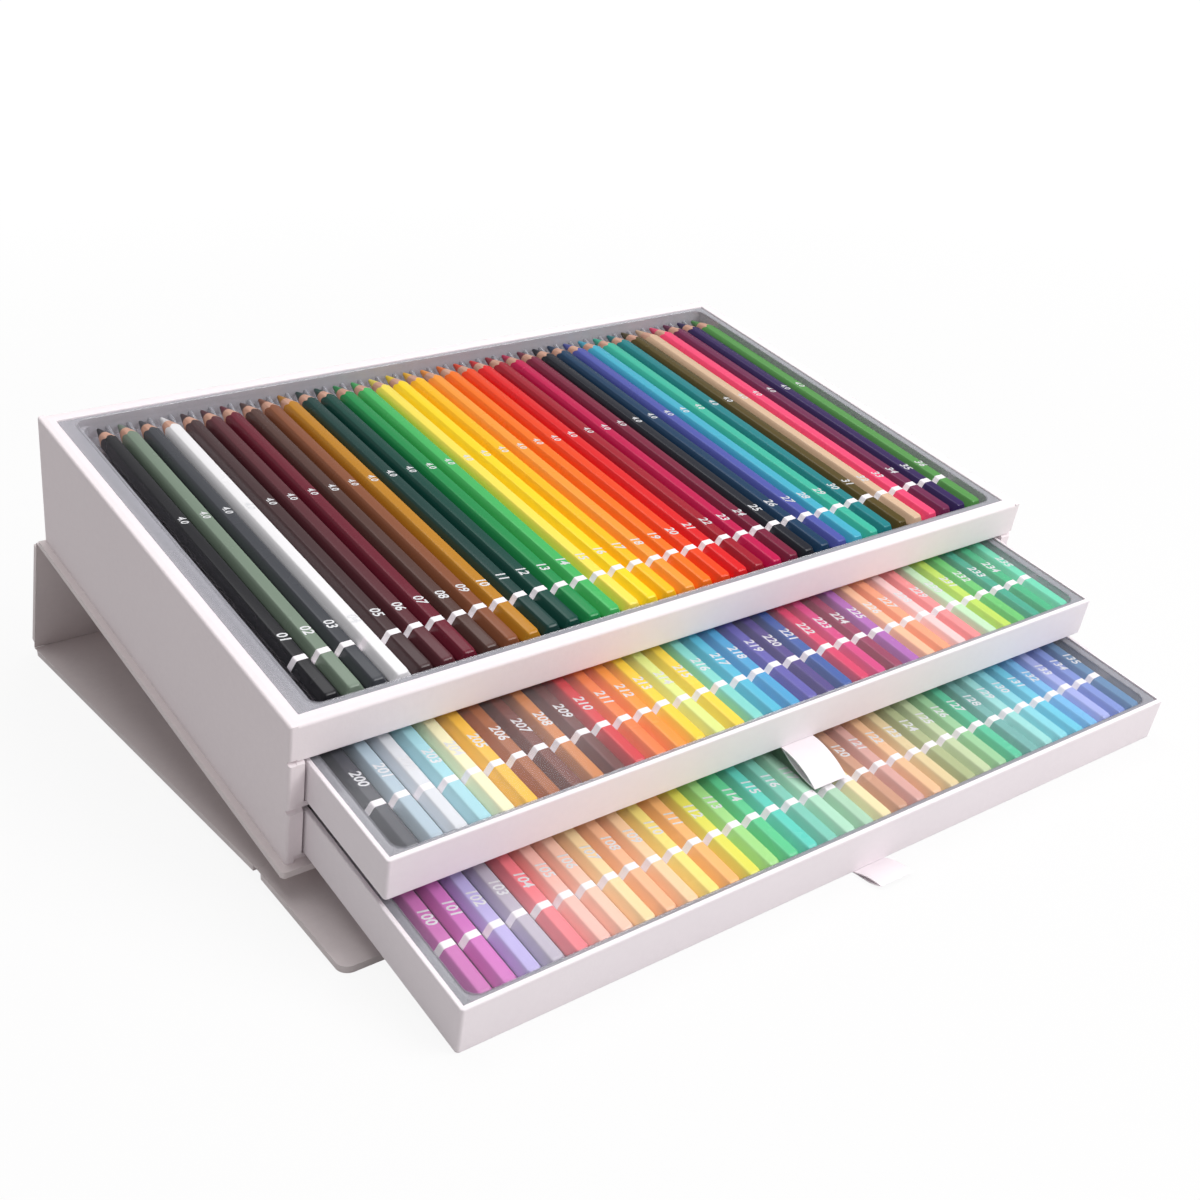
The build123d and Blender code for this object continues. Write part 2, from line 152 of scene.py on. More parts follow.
def new_group(name, inputs, outputs):
    """An empty node group with named sockets, and its two end nodes."""
    group = bpy.data.node_groups.new(name, "ShaderNodeTree")
    for label, kind, default in inputs:
        socket = group.interface.new_socket(label, in_out="INPUT", socket_type=SOCKETS[kind])
        socket.default_value = default
    for label, kind in outputs:
        group.interface.new_socket(label, in_out="OUTPUT", socket_type=SOCKETS[kind])
    return group, group.nodes.new("NodeGroupInput"), group.nodes.new("NodeGroupOutput")


def add_noise(tree, scale, detail=3.0, stretch=(1, 1, 1), rough=0.5):
    """A noise on Object coordinates, with features 1/scale metres wide."""
    place = tree.nodes.new("ShaderNodeTexCoord")
    mapping = tree.nodes.new("ShaderNodeMapping")
    mapping.inputs["Scale"].default_value = stretch
    noise = tree.nodes.new("ShaderNodeTexNoise")
    noise.inputs["Scale"].default_value = scale
    noise.inputs["Detail"].default_value = detail
    noise.inputs["Roughness"].default_value = rough
    tree.links.new(place.outputs["Object"], mapping.inputs["Vector"])
    tree.links.new(mapping.outputs["Vector"], noise.inputs["Vector"])
    return noise.outputs["Fac"]


def add_math(tree, operation, first, second):
    """A maths node; each operand is a socket or a number."""
    node = tree.nodes.new("ShaderNodeMath")
    node.operation = operation
    for i, operand in enumerate((first, second)):
        if isinstance(operand, (int, float)):
            node.inputs[i].default_value = operand
        else:
            tree.links.new(operand, node.inputs[i])
    return node.outputs[0]


def add_mix(tree, factor, first, second, blend="MIX"):
    """A colour mix; each operand is a socket, a number or a colour."""
    node = tree.nodes.new("ShaderNodeMix")
    node.data_type = "RGBA"
    node.blend_type = blend
    for label, operand in (("Factor", factor), ("A", first), ("B", second)):
        socket = next(s for s in node.inputs if s.name == label and s.enabled)
        if isinstance(operand, bpy.types.NodeSocket):
            tree.links.new(operand, socket)
        elif label == "Factor":
            socket.default_value = operand
        else:
            socket.default_value = (*operand, 1.0)
    return next(s for s in node.outputs if s.enabled)


# %% Paper fibre: fine felt under a faint, broad cloudiness
CLOUD_SCALE, FIBRE_SCALE, FELT_SCALE = 14, 1500, 420
FIBRE_STRETCH = (1, 0.35, 1)
FIBRE_SHARE = 0.6
paper_group, g_in, g_out = new_group(
    "paper_fibre",
    [
        ("Colour", "colour", (1, 1, 1, 1)),
        ("Shade", "colour", (0.8, 0.78, 0.78, 1)),
        ("Cloud", "value", 0.2),
    ],
    [("Colour", "colour"), ("Height", "value")],
)
cloud = add_noise(paper_group, CLOUD_SCALE, 4, rough=0.6)
fibre = add_noise(paper_group, FIBRE_SCALE, 2, FIBRE_STRETCH)
felt = add_noise(paper_group, FELT_SCALE, 3)
cloudy_felt = add_math(paper_group, "MULTIPLY", cloud, felt)
amount = add_math(paper_group, "MULTIPLY", g_in.outputs["Cloud"], cloudy_felt)
tone = add_mix(paper_group, amount, g_in.outputs["Colour"], g_in.outputs["Shade"])
paper_group.links.new(tone, g_out.inputs["Colour"])
height = add_math(paper_group, "ADD", add_math(paper_group, "MULTIPLY", fibre, FIBRE_SHARE), felt)
paper_group.links.new(height, g_out.inputs["Height"])
print("paper_fibre:", len(paper_group.nodes), "nodes")

# %% Orange peel: the slow ripple of brushed and dipped lacquer
RIPPLE_SCALE, SMEAR_SCALE = 260, 60
RIPPLE_STRETCH = (1, 0.25, 1)
peel_group, g_in, g_out = new_group(
    "orange_peel",
    [("Roughness", "value", 0.2), ("Spread", "value", 0.1)],
    [("Roughness", "value"), ("Height", "value")],
)
ripple = add_noise(peel_group, RIPPLE_SCALE, 2, RIPPLE_STRETCH)
smear = add_noise(peel_group, SMEAR_SCALE, 3)
swing = add_math(peel_group, "SUBTRACT", smear, 0.5)
spread = add_math(peel_group, "MULTIPLY", g_in.outputs["Spread"], swing)
smeared = add_math(peel_group, "ADD", g_in.outputs["Roughness"], spread)
peel_group.links.new(smeared, g_out.inputs["Roughness"])
peel_group.links.new(ripple, g_out.inputs["Height"])
print("orange_peel:", len(peel_group.nodes), "nodes")

# %% Wood grain: long fibres along the pencil, with darker flecks
FLECK_SCALE = 900
FLECK_STRETCH = (1, 0.08, 1)
grain_group, g_in, g_out = new_group(
    "wood_grain",
    [("Light", "colour", (1, 1, 1, 1)), ("Dark", "colour", (0.5, 0.5, 0.5, 1))],
    [("Colour", "colour"), ("Height", "value")],
)
fleck = add_noise(grain_group, FLECK_SCALE, 4, FLECK_STRETCH, 0.7)
grained = add_mix(grain_group, fleck, g_in.outputs["Light"], g_in.outputs["Dark"])
grain_group.links.new(grained, g_out.inputs["Colour"])
grain_group.links.new(fleck, g_out.inputs["Height"])
print("wood_grain:", len(grain_group.nodes), "nodes")

# %% [markdown]
# ## Materials
# Colours are written as a painter would read them, in the everyday 0 to 255 scale, and turned into
# the linear values that the shader needs. The papers differ a little: the case and drawers have a
# bright, faintly warm white. The cover's wrap is a touch greyer, partly its own tone and partly painted
# shade for the shade it lies in under the case, and its lining is greyer still, as painted shade.


# %% Colour and material helpers
def linear(shade):
    """An everyday 0 to 255 colour as linear light."""
    return tuple((c / 255 / 12.92) if c <= 10 else ((c / 255 + 0.055) / 1.055) ** 2.4 for c in shade)


def new_finish(name, shade=None, roughness=0.5, **sockets):
    """A material with its Principled shader set; other sockets are given by name."""
    finish = bpy.data.materials.new(name)
    finish.use_nodes = True
    tree = finish.node_tree
    shader = tree.nodes["Principled BSDF"]
    if shade:
        shader.inputs["Base Color"].default_value = (*linear(shade), 1)
    shader.inputs["Roughness"].default_value = roughness
    for label, value in sockets.items():
        shader.inputs[label.replace("_", " ")].default_value = value
    return finish, tree, shader


def place_group(tree, group, **values):
    """Put a node group in a material and set its inputs."""
    node = tree.nodes.new("ShaderNodeGroup")
    node.node_tree = group
    for label, value in values.items():
        node.inputs[label].default_value = (*value, 1) if isinstance(value, tuple) else value
    return node


def add_bump(tree, height, shader, distance, strength=1.0):
    """Feed a height into the shader's normal."""
    bump = tree.nodes.new("ShaderNodeBump")
    bump.inputs["Distance"].default_value = distance
    bump.inputs["Strength"].default_value = strength
    tree.links.new(height, bump.inputs["Height"])
    tree.links.new(bump.outputs["Normal"], shader.inputs["Normal"])


PAPER_ROUGHNESS = 0.62
PAPER_BUMP = 0.04 * MM


def paper_finish(name, shade, deep, cloud):
    """Matt paper: a felt surface with a faint sheen."""
    finish, tree, shader = new_finish(name, None, PAPER_ROUGHNESS, Specular_IOR_Level=0.35)
    fibres = place_group(tree, paper_group, Colour=linear(shade), Shade=linear(deep), Cloud=cloud)
    tree.links.new(fibres.outputs["Colour"], shader.inputs["Base Color"])
    add_bump(tree, fibres.outputs["Height"], shader, PAPER_BUMP)
    return finish


# %% Papers
case_paper = paper_finish("case_paper", (246, 236, 239), (216, 204, 209), 0.35)
drawer_paper = paper_finish("drawer_paper", (246, 238, 242), (218, 207, 214), 0.3)
# the lining's grey is painted shade, and so is part of the wrap's grey: the cover lies in shade under the case
lining_paper = paper_finish("lining_paper", (226, 218, 217), (196, 186, 185), 0.5)
wrap_paper = paper_finish("wrap_paper", (236, 226, 226), (204, 192, 194), 0.4)

# %% Clear film for the inserts, and a thinner one for the sheets over the drawers
# the sheets' patches of haze are strongest at the left and fade towards the middle; the extra strength at the left
# is painted glare, light reflected off the sheet there
EDGE_BLEND = 0.25
HAZE_SCALE = 11.0
HAZE_FROM = 0.4
HAZE_FULL = 0.62
GLARE_FADE_LEFT = -0.13
GLARE_FADE_RIGHT = -0.02
GLARE_FADE_LEAST = 0.12
FILM_SPREAD = 0.12
FILM_BUMP = 0.02 * MM


def film_finish(name, shade, clear, edge, roughness, haze=0.0):
    """See-through film that turns denser where it is seen edge on, with patches of haze; on the sheets they grow
    stronger at the left as painted glare.
    """
    finish, tree, shader = new_finish(name, shade, roughness, Specular_IOR_Level=0.8)
    facing = tree.nodes.new("ShaderNodeLayerWeight")
    facing.inputs["Blend"].default_value = EDGE_BLEND
    density = tree.nodes.new("ShaderNodeMapRange")
    density.inputs["To Min"].default_value = clear
    density.inputs["To Max"].default_value = edge
    tree.links.new(facing.outputs["Facing"], density.inputs["Value"])
    patches = tree.nodes.new("ShaderNodeMapRange")
    patches.interpolation_type = "SMOOTHSTEP"
    patches.inputs["From Min"].default_value = HAZE_FROM
    patches.inputs["From Max"].default_value = HAZE_FULL
    patches.inputs["To Max"].default_value = haze
    tree.links.new(add_noise(tree, HAZE_SCALE, 2), patches.inputs["Value"])
    place = tree.nodes.new("ShaderNodeTexCoord")
    axes = tree.nodes.new("ShaderNodeSeparateXYZ")
    tree.links.new(place.outputs["Object"], axes.inputs["Vector"])
    # painted glare: the haze is raised towards the left, where light glares off the sheet
    left_glare_fade = tree.nodes.new("ShaderNodeMapRange")
    left_glare_fade.inputs["From Min"].default_value = GLARE_FADE_LEFT
    left_glare_fade.inputs["From Max"].default_value = GLARE_FADE_RIGHT
    left_glare_fade.inputs["To Min"].default_value = 1.0
    left_glare_fade.inputs["To Max"].default_value = GLARE_FADE_LEAST
    tree.links.new(axes.outputs["X"], left_glare_fade.inputs["Value"])
    haze_and_glare = add_math(tree, "MULTIPLY", patches.outputs["Result"], left_glare_fade.outputs["Result"])
    alpha = add_math(tree, "ADD", density.outputs["Result"], haze_and_glare)
    tree.links.new(alpha, shader.inputs["Alpha"])
    peel = place_group(tree, peel_group, Roughness=roughness, Spread=FILM_SPREAD)
    tree.links.new(peel.outputs["Roughness"], shader.inputs["Roughness"])
    add_bump(tree, peel.outputs["Height"], shader, FILM_BUMP, 0.5)
    return finish


# the insert film's grey tone is painted shade: it stands for the shade in the deep tray seen through the film
insert_film = film_finish("insert_film", (190, 190, 198), 0.28, 0.85, 0.12)
sheet_film = film_finish("sheet_film", (240, 242, 246), 0.01, 0.12, 0.14, haze=0.06)

# %% Steel for the hidden magnets
STEEL_ROUGHNESS = 0.3
magnet_steel, tree, shader = new_finish("magnet_steel", (178, 178, 182), STEEL_ROUGHNESS, Metallic=1.0)
peel = place_group(tree, peel_group, Roughness=STEEL_ROUGHNESS, Spread=0.2)
tree.links.new(peel.outputs["Roughness"], shader.inputs["Roughness"])

# %% Pencil finishes: lacquer and lead read each pencil's own colour
PAINT = "paint"
LACQUER_ROUGHNESS = 0.26
RING_ROUGHNESS = 0.3
LACQUER_BUMP = 0.03 * MM
WOOD_BUMP = 0.06 * MM
LEAD_BUMP = 0.08 * MM
LEAD_SCALE, SPECK_SCALE = 1400, 2600


def add_paint(tree):
    """The pencil's colour, kept as an attribute on its vertices."""
    paint = tree.nodes.new("ShaderNodeAttribute")
    paint.attribute_name = PAINT
    return paint.outputs["Color"]


lacquer, tree, shader = new_finish("pencil_lacquer", None, LACQUER_ROUGHNESS, Specular_IOR_Level=0.32)
tree.links.new(add_paint(tree), shader.inputs["Base Color"])
peel = place_group(tree, peel_group, Roughness=LACQUER_ROUGHNESS, Spread=0.12)
tree.links.new(peel.outputs["Roughness"], shader.inputs["Roughness"])
add_bump(tree, peel.outputs["Height"], shader, LACQUER_BUMP, 0.7)

ring_lacquer, tree, shader = new_finish(
    "ring_lacquer", (246, 240, 244), RING_ROUGHNESS, Specular_IOR_Level=0.4
)
peel = place_group(tree, peel_group, Roughness=RING_ROUGHNESS, Spread=0.1)
tree.links.new(peel.outputs["Roughness"], shader.inputs["Roughness"])
add_bump(tree, peel.outputs["Height"], shader, LACQUER_BUMP, 0.5)

cone_wood, tree, shader = new_finish("cone_wood", None, 0.6)
grain = place_group(tree, grain_group, Light=linear((222, 180, 158)), Dark=linear((170, 116, 96)))
tree.links.new(grain.outputs["Colour"], shader.inputs["Base Color"])
add_bump(tree, grain.outputs["Height"], shader, WOOD_BUMP)

lead_core, tree, shader = new_finish("lead_core", None, 0.42)
felt_noise = add_noise(tree, LEAD_SCALE, 3)
worn = add_math(tree, "MULTIPLY", felt_noise, 0.5)
tree.links.new(add_mix(tree, worn, add_paint(tree), (0.03, 0.03, 0.035)), shader.inputs["Base Color"])
add_bump(tree, felt_noise, shader, LEAD_BUMP)

foil_print, tree, shader = new_finish("foil_print", (232, 232, 234), 0.35, Metallic=0.25)
speck = add_noise(tree, SPECK_SCALE, 2)
specked = add_mix(tree, speck, linear((240, 240, 242)), linear((206, 206, 210)))
tree.links.new(specked, shader.inputs["Base Color"])
print("materials:", len(bpy.data.materials))

# %% [markdown]
# ## The carried-over boards
# The frame's boards already have their real shape, with rounded paper-covered edges, so they stay and
# only get their papers. The sheets over the drawers and the magnets stay too. The inserts get their
# film here, but richer ones take their place further down.

# %% Dress the frame's own nodes
FINISH_OF_SLOT = {
    "case_board": case_paper,
    "drawer_board": drawer_paper,
    "cover_board": wrap_paper,
    "cover_wrap": wrap_paper,
    "clear_film": insert_film,
    "magnet": magnet_steel,
    "pull_ribbon": drawer_paper,
}
for part in frame["record"]["subparts"]:
    finish = FINISH_OF_SLOT.get(part["material_slot"])
    if finish:
        frame["nodes"][part["node"]].material_slots[0].material = finish
for name in ("middle", "bottom"):
    frame["nodes"][f"{name}_cover_sheet"].material_slots[0].material = sheet_film
print("dressed:", len(frame["nodes"]), "nodes")

# %% [markdown]
# ## The pencils' colours
# Each tray has thirty-six pencils. The colours are listed from left to right in the same runs of
# neighbouring colours as the frame's nodes, as a paint maker would name them.

# %% Colours, left to right
COLOURS = {
    "top": {
        "greys": {
            "black": (32, 32, 36), "sage": (122, 138, 122), "charcoal": (66, 68, 74),
            "white": (240, 238, 240),
        },
        "browns": {
            "umber": (70, 48, 50), "maroon": (92, 42, 50), "oxblood": (108, 24, 44),
            "cocoa": (84, 56, 50), "sienna": (136, 80, 52), "ochre": (188, 128, 30),
        },
        "greens": {
            "pine": (24, 62, 58), "bottle": (12, 70, 60), "leaf": (30, 142, 76),
            "spring": (70, 182, 98),
        },
        "yellows": {
            "straw": (248, 226, 88), "lemon": (254, 218, 36), "sun": (252, 190, 26),
            "apricot": (250, 156, 56), "orange": (246, 118, 28), "vermilion": (238, 72, 26),
        },
        "reds": {
            "scarlet": (224, 30, 34), "carmine": (162, 26, 44), "crimson": (194, 14, 78),
            "plum": (122, 28, 58), "ink": (30, 32, 42),
        },
        "blues": {
            "navy": (24, 60, 92), "indigo": (80, 88, 168), "turquoise": (70, 174, 200),
            "jade": (62, 184, 158),
            "teal": (30, 128, 134), "olive": (84, 70, 28), "beige": (218, 184, 154),
            "coral": (244, 74, 118),
            "mulberry": (112, 38, 78), "violet": (52, 34, 88), "grass": (88, 150, 78),
        },
    },
    "middle": {
        "greys": {
            "slate": (62, 62, 72), "mist": (176, 196, 210), "pearl": (222, 224, 230),
            "ice": (164, 216, 226),
        },
        "browns": {
            "cream": (248, 240, 196), "gold": (246, 188, 38), "tan": (166, 90, 34),
            "chestnut": (116, 50, 34), "amber": (208, 126, 56), "mahogany": (104, 38, 32),
        },
        "oranges": {
            "red": (216, 30, 42), "tangerine": (244, 122, 38), "marigold": (252, 150, 26),
            "canary": (254, 212, 26), "pale_lime": (226, 236, 134), "maize": (250, 216, 46),
        },
        "blues": {
            "aqua": (126, 214, 204), "sky": (72, 186, 216), "azure": (58, 160, 212),
            "iris": (88, 80, 172), "purple": (70, 46, 132), "cobalt": (34, 80, 164),
        },
        "pinks": {
            "rose": (220, 26, 92), "magenta": (216, 40, 124), "cerise": (150, 20, 78),
            "orchid": (176, 92, 180),
            "peach": (250, 190, 150), "melon": (250, 160, 116), "blush": (250, 206, 204),
            "salmon": (248, 140, 140),
        },
        "greens": {
            "pistachio": (196, 232, 190), "chartreuse": (190, 222, 72), "clover": (92, 196, 96),
            "viridian": (26, 164, 132), "emerald": (34, 178, 120), "mint": (98, 214, 176),
        },
    },
    "bottom": {
        "violets": {
            "mallow": (202, 110, 180), "thistle": (210, 112, 192), "lavender": (188, 176, 228),
            "dove": (190, 180, 196),
        },
        "peaches": {
            "coral_pink": (244, 118, 128), "shell": (250, 190, 176), "petal": (250, 200, 176),
            "buttermilk": (250, 218, 164),
            "nectarine": (250, 186, 142), "almond": (252, 208, 162), "primrose": (248, 226, 122),
            "mango": (252, 184, 108),
        },
        "limes": {
            "lime": (230, 226, 78), "apple": (162, 222, 132), "fern": (84, 204, 142),
            "lagoon": (86, 208, 190),
        },
        "earths": {
            "seafoam": (122, 202, 182), "frost": (176, 224, 196), "willow": (172, 212, 182),
            "wheat": (240, 224, 174),
            "terracotta": (204, 150, 120), "dusk": (218, 164, 154), "honey": (240, 190, 144),
            "sand": (226, 204, 154),
            "moss": (172, 182, 130), "lichen": (194, 210, 164),
        },
        "greens": {
            "meadow": (152, 204, 152), "malachite": (78, 194, 152), "spruce": (110, 174, 168),
            "surf": (152, 218, 214),
        },
        "blues": {
            "lake": (130, 212, 224), "lagoon_blue": (98, 198, 224), "noon": (110, 182, 230),
            "bluebell": (162, 172, 230), "cornflower": (120, 142, 210), "steel": (90, 132, 174),
        },
    },
}
BODY_OF_TRAY = {"top": "case", "middle": "middle_drawer", "bottom": "bottom_drawer"}

# %% [markdown]
# ## One pencil
# A real pencil is a hexagonal stick with softened corners, dipped in lacquer at its blunt end and
# sharpened at the other. The sharpener's cone meets the flats further up than the corners, which
# leaves the scalloped edge of the paint. The section is a circle of six points with bevelled corners,
# extruded from station to station. At the scallop each point goes to where the cone reaches it.

# %% Pencil sizes
# each blunt station is its distance from the end in mm and its share of the full section
one_low, one_high = level_box("top_greys_pencils")
pencil_flats = one_high.z - one_low.z
pencil_corner_r = pencil_flats / 2 / cos(radians(30))
pencil_length = one_high.y - one_low.y
POINT_LENGTH = 12.8 * MM
TIP_R = 0.65 * MM
LEAD_R = 2.15 * MM
RING_START = 18.2 * MM
RING_WIDTH = 2.6 * MM
CORNER_SOFTNESS = 0.32 * MM
TIP_ROUND = 0.3 * MM
FLAT_CUTS = 3
BLUNT_STATIONS = ((0.0, 0.62), (0.22, 0.82), (0.7, 0.94), (1.5, 1.0))
LACQUER, RING, WOOD, LEAD = range(4)
print("pencil, mm:", round(pencil_length / MM, 1), "long,", round(pencil_flats / MM, 2), "across flats")


# %% Build the pencil once
def push_cap(bm, cap, material):
    """Extrude the cap face one station on and return the new cap."""
    made = bmesh.ops.extrude_face_region(bm, geom=[cap])
    next_cap = next(f for f in made["geom"] if isinstance(f, bmesh.types.BMFace))
    bmesh.ops.delete(bm, geom=[cap], context="FACES_ONLY")
    for edge in next_cap.edges:
        for face in edge.link_faces:
            if face is not next_cap:
                face.material_index = material
    return next_cap


def build_pencil():
    """A pencil along +Y with its blunt end at the origin and a flat facing up."""
    bm = bmesh.new()
    bmesh.ops.create_circle(bm, cap_ends=True, segments=6, radius=pencil_corner_r)
    flat_up = Matrix.Rotation(radians(90), 3, "X") @ Matrix.Rotation(radians(30), 3, "Z")
    bmesh.ops.rotate(bm, verts=bm.verts, matrix=flat_up)
    bmesh.ops.bevel(
        bm, geom=bm.verts[:], affect="VERTICES", offset=CORNER_SOFTNESS, segments=2,
        profile=0.5, material=-1,
    )
    flats = [e for e in bm.edges if e.calc_length() > pencil_corner_r / 2]
    bmesh.ops.subdivide_edges(bm, edges=flats, cuts=FLAT_CUTS)
    cap = bm.faces[:][0]
    section = [Vector((v.co.x, 0, v.co.z)) for v in cap.verts]
    # a copy of the first cap stays behind and closes the blunt end
    cap.copy(verts=False)
    for v, s in zip(cap.verts, section):
        v.co = s * BLUNT_STATIONS[0][1]
    for y, scale in BLUNT_STATIONS[1:]:
        cap = push_cap(bm, cap, LACQUER)
        for v, s in zip(cap.verts, section):
            v.co = s * scale + Vector((0, y * MM, 0))
    for y, material in ((RING_START, LACQUER), (RING_START + RING_WIDTH, RING)):
        cap = push_cap(bm, cap, material)
        for v, s in zip(cap.verts, section):
            v.co = s + Vector((0, y, 0))
    # the scalloped edge of the paint, where the cone reaches each point of the section
    slope = (pencil_corner_r - TIP_R) / POINT_LENGTH
    cap = push_cap(bm, cap, LACQUER)
    for v, s in zip(cap.verts, section):
        v.co = s + Vector((0, pencil_length - (s.length - TIP_R) / slope, 0))
    point = (
        (LEAD_R, pencil_length - (LEAD_R - TIP_R) / slope, WOOD),
        (TIP_R, pencil_length - TIP_ROUND, LEAD),
        (TIP_R / 2, pencil_length, LEAD),
    )
    for radius, y, material in point:
        cap = push_cap(bm, cap, material)
        for v, s in zip(cap.verts, section):
            v.co = s.normalized() * radius + Vector((0, y, 0))
    cap.material_index = LEAD
    bmesh.ops.recalc_face_normals(bm, faces=bm.faces)
    mesh = bpy.data.meshes.new("pencil_pattern")
    bm.to_mesh(mesh)
    bm.free()
    return mesh


pencil_pattern = build_pencil()
print("pencil pattern:", len(pencil_pattern.polygons), "faces")

# %% [markdown]
# ## The rows of pencils
# A tray's pencils are copies of that one pencil, grouped like the frame's nodes. Hand-filled pencils
# never line up perfectly, so each one is nudged along its groove and rolled by a degree or so.

# %% Lay the rows
NUDGE = 0.45 * MM
ROLL = radians(1.5)
PENCIL_SMOOTH = 28
# each row's shift against the frame, in mm: right, back, up
ROW_PLACE = {"top": (3.0, -0.3, 0), "middle": (0.6, -2.6, -0.05), "bottom": (0.3, -2.6, -0.05)}
luck = random.Random(7)
pencil_spots = {}
for tray, families in COLOURS.items():
    row_place = Vector(ROW_PLACE[tray]) * MM
    pencil_spots[tray] = []
    for family, shades in families.items():
        node = f"{tray}_{family}_pencils"
        low, high = level_box(node)
        count = len(shades)
        pitch = (high.x - low.x - 2 * pencil_corner_r) / max(count - 1, 1)
        axis_z = (low.z + high.z) / 2
        bm = bmesh.new()
        layer = bm.verts.layers.float_color.new(PAINT)
        for i, shade in enumerate(shades.values()):
            spot = Vector((low.x + pencil_corner_r + i * pitch, low.y, axis_z)) + row_place
            slip = Matrix.Translation(spot + Vector((0, luck.uniform(-NUDGE, NUDGE), 0)))
            turned = slip @ Matrix.Rotation(luck.uniform(-ROLL, ROLL), 4, "Y")
            pencil_spots[tray].append(turned)
            before = len(bm.verts)
            bm.from_mesh(pencil_pattern)
            bm.verts.ensure_lookup_table()
            fresh = bm.verts[before:]
            bmesh.ops.transform(bm, matrix=turned, verts=fresh)
            for v in fresh:
                v[layer] = (*linear(shade), 1)
        finishes = [lacquer, ring_lacquer, cone_wood, lead_core]
        new_piece(bm, f"{tray}_{family}", BODY_OF_TRAY[tray], finishes, [node], PENCIL_SMOOTH)
    print(tray, "row:", len(pencil_spots[tray]), "pencils")

# %% [markdown]
# ## Printed numbers
# Each pencil carries a plain number in silver foil on its upper flat, between the white ring and the
# point, and the thickness of its lead further up. The figures read from the point towards the blunt
# end. They start as text objects a metre high, because a font fills badly at a few millimetres. They
# become meshes, are scaled down, and a hair of thickness lets them catch the light.

# %% Print the numbers
FOIL_T = 0.05 * MM
FIGURE_SIZE = 4.7 * MM
LEAD_SIZE = 3.7 * MM
FIGURE_SLANT = 0.2
FIGURE_SWELL = 0.02
NUMBER_PLACE = 31.0 * MM
LEAD_PLACE = 104.0 * MM
FIRST_NUMBER = {"top": 1, "middle": 200, "bottom": 100}
read_down = Matrix(((0, 1, 0), (-1, 0, 0), (0, 0, 1))).to_4x4()
figure_meshes = {}


def figure_mesh(text, size):
    """A line of foil figures as a thin flat mesh, centred on its place."""
    key = (text, size)
    if key not in figure_meshes:
        curve = bpy.data.curves.new("figures", "FONT")
        curve.body = text
        curve.size = 1.0
        curve.shear = FIGURE_SLANT
        curve.offset = FIGURE_SWELL
        curve.extrude = FOIL_T / 2 / size
        curve.resolution_u = 2
        curve.align_x = "CENTER"
        curve.align_y = "CENTER"
        holder = bpy.data.objects.new("figures", curve)
        bpy.context.scene.collection.objects.link(holder)
        bpy.context.view_layer.update()
        figure_meshes[key] = bpy.data.meshes.new_from_object(holder)
        figure_meshes[key].transform(Matrix.Scale(size, 4))
        bpy.data.objects.remove(holder)
    return figure_meshes[key]


for tray, spots in pencil_spots.items():
    bm = bmesh.new()
    for i, spot in enumerate(spots):
        number = FIRST_NUMBER[tray] + i
        labels = [(f"{number:02d}", FIGURE_SIZE, NUMBER_PLACE), ("4.0", LEAD_SIZE, LEAD_PLACE)]
        for text, size, place in labels:
            before = len(bm.verts)
            bm.from_mesh(figure_mesh(text, size))
            bm.verts.ensure_lookup_table()
            on_flat = Matrix.Translation((0, place, pencil_flats / 2 + FOIL_T / 2))
            bmesh.ops.transform(bm, matrix=spot @ on_flat @ read_down, verts=bm.verts[before:])
    new_piece(bm, f"{tray}_print", BODY_OF_TRAY[tray], [foil_print])

# %% [markdown]
# ## Vacuum-formed inserts
# Each tray's pencils lie in a formed sheet of clear plastic. It starts as a rounded loop at the rim
# and steps inwards and down: a flange, a rolled bead, a ledge and a wall. The bed is a grid with one
# ridge between each two pencils. At the points, small teeth keep the pencils apart.

# %% Insert sizes
FILM_T = 0.3 * MM
FLANGE_DROP = 0.55 * MM
OUTER_R = 1.0 * MM
POCKET_R = 4.5 * MM
BEAD = 0.3 * MM
LEDGE_DROP = 2.6 * MM
CORNER_POINTS = 6
BED_COLUMNS = 8
BED_GAP = 0.05 * MM
MERGE = 0.01 * MM
RIDGE_H = 1.9 * MM
RIDGE_HALF_W = 1.8 * MM
TOOTH = Vector((2.4, 8.0, 4.4)) * MM
TOOTH_ROUND = 0.5 * MM
TOOTH_TAPER = 0.62
# flange widths in mm at the left, right, front and back, and the ledge's width at the left
INSERT_SHAPE = {
    "top": ((4.6, 2.3, 1.6, 1.1), 2.0),
    "middle": ((2.4, 2.6, 0.8, 4.0), 0.7),
    "bottom": ((2.4, 2.6, 0.8, 4.0), 0.7),
}


def tray_inside(tray):
    """The tray's inner rectangle and its rim, from the frame's insert and walls."""
    low, high = level_box(f"{tray}_insert")
    shell = "top_tray" if tray == "top" else f"{tray}_drawer_tray"
    rim = level_box(shell)[1].z
    return [low.x, high.x, low.y, high.y], rim


def set_loop(cap, ways, sides, radius, z):
    """Place a loop's points on a rounded rectangle: x from, x to, y from, y to."""
    for v, way in zip(cap.verts, ways):
        x = sides[1] - radius if way.x > 0 else sides[0] + radius
        y = sides[3] - radius if way.y > 0 else sides[2] + radius
        v.co = Vector((x + way.x * radius, y + way.y * radius, z))


def step_in(sides, left, right, front, back):
    """The rectangle, smaller by so much at each side."""
    return [sides[0] + left, sides[1] - right, sides[2] + front, sides[3] - back]


